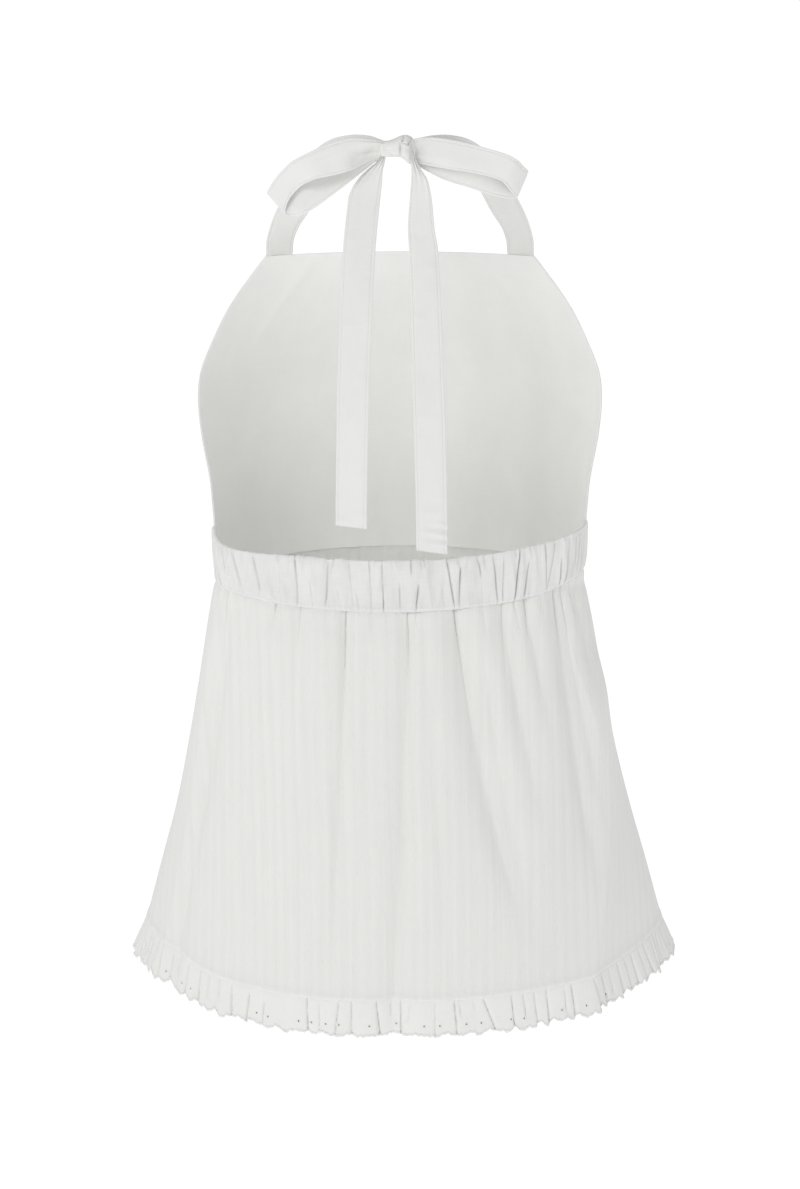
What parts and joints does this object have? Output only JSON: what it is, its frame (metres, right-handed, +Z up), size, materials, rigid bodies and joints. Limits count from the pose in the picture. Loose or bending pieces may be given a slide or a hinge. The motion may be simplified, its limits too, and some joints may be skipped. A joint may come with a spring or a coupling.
{
  "type": "halter neck top",
  "caption": "Sleeveless cotton top: a front panel held by straps tied in a bow behind the neck, an open back, a gathered elastic casing and a flared skirt with a ruffled hem.",
  "frame": {"origin": "on the nape, at the middle of the neck knot's inner face, where the neck holds the top up", "axes": "+Z up, +X to the wearer's left, -Y to the wearer's front, so the bow and the open back face +Y"},
  "size_m": [0.4235, 0.2994, 0.6373],
  "materials": {
    "shell_cotton": "fine self-striped cotton, matt white",
    "lining_cotton": "smooth plain cotton lawn, matt white",
    "casing_cotton": "smooth cotton gathered over elastic, matt white",
    "ruffle_cotton": "eyelet edging with a scalloped edge, matt white",
    "tie_cotton": "doubled and topstitched plain cotton, matt white"
  },
  "bodies": {
    "root": {"front_bib": "shell_cotton", "bib_lining": "lining_cotton", "back_casing": "casing_cotton", "skirt_back": "shell_cotton", "skirt_front": "shell_cotton", "ruffle_back": "ruffle_cotton", "ruffle_front": "ruffle_cotton", "strap_left": "tie_cotton", "strap_right": "tie_cotton", "bow_loop_left": "tie_cotton", "bow_loop_right": "tie_cotton", "bow_knot": "tie_cotton", "tail_left": "tie_cotton", "tail_right": "tie_cotton"}
  },
  "joints": []
}
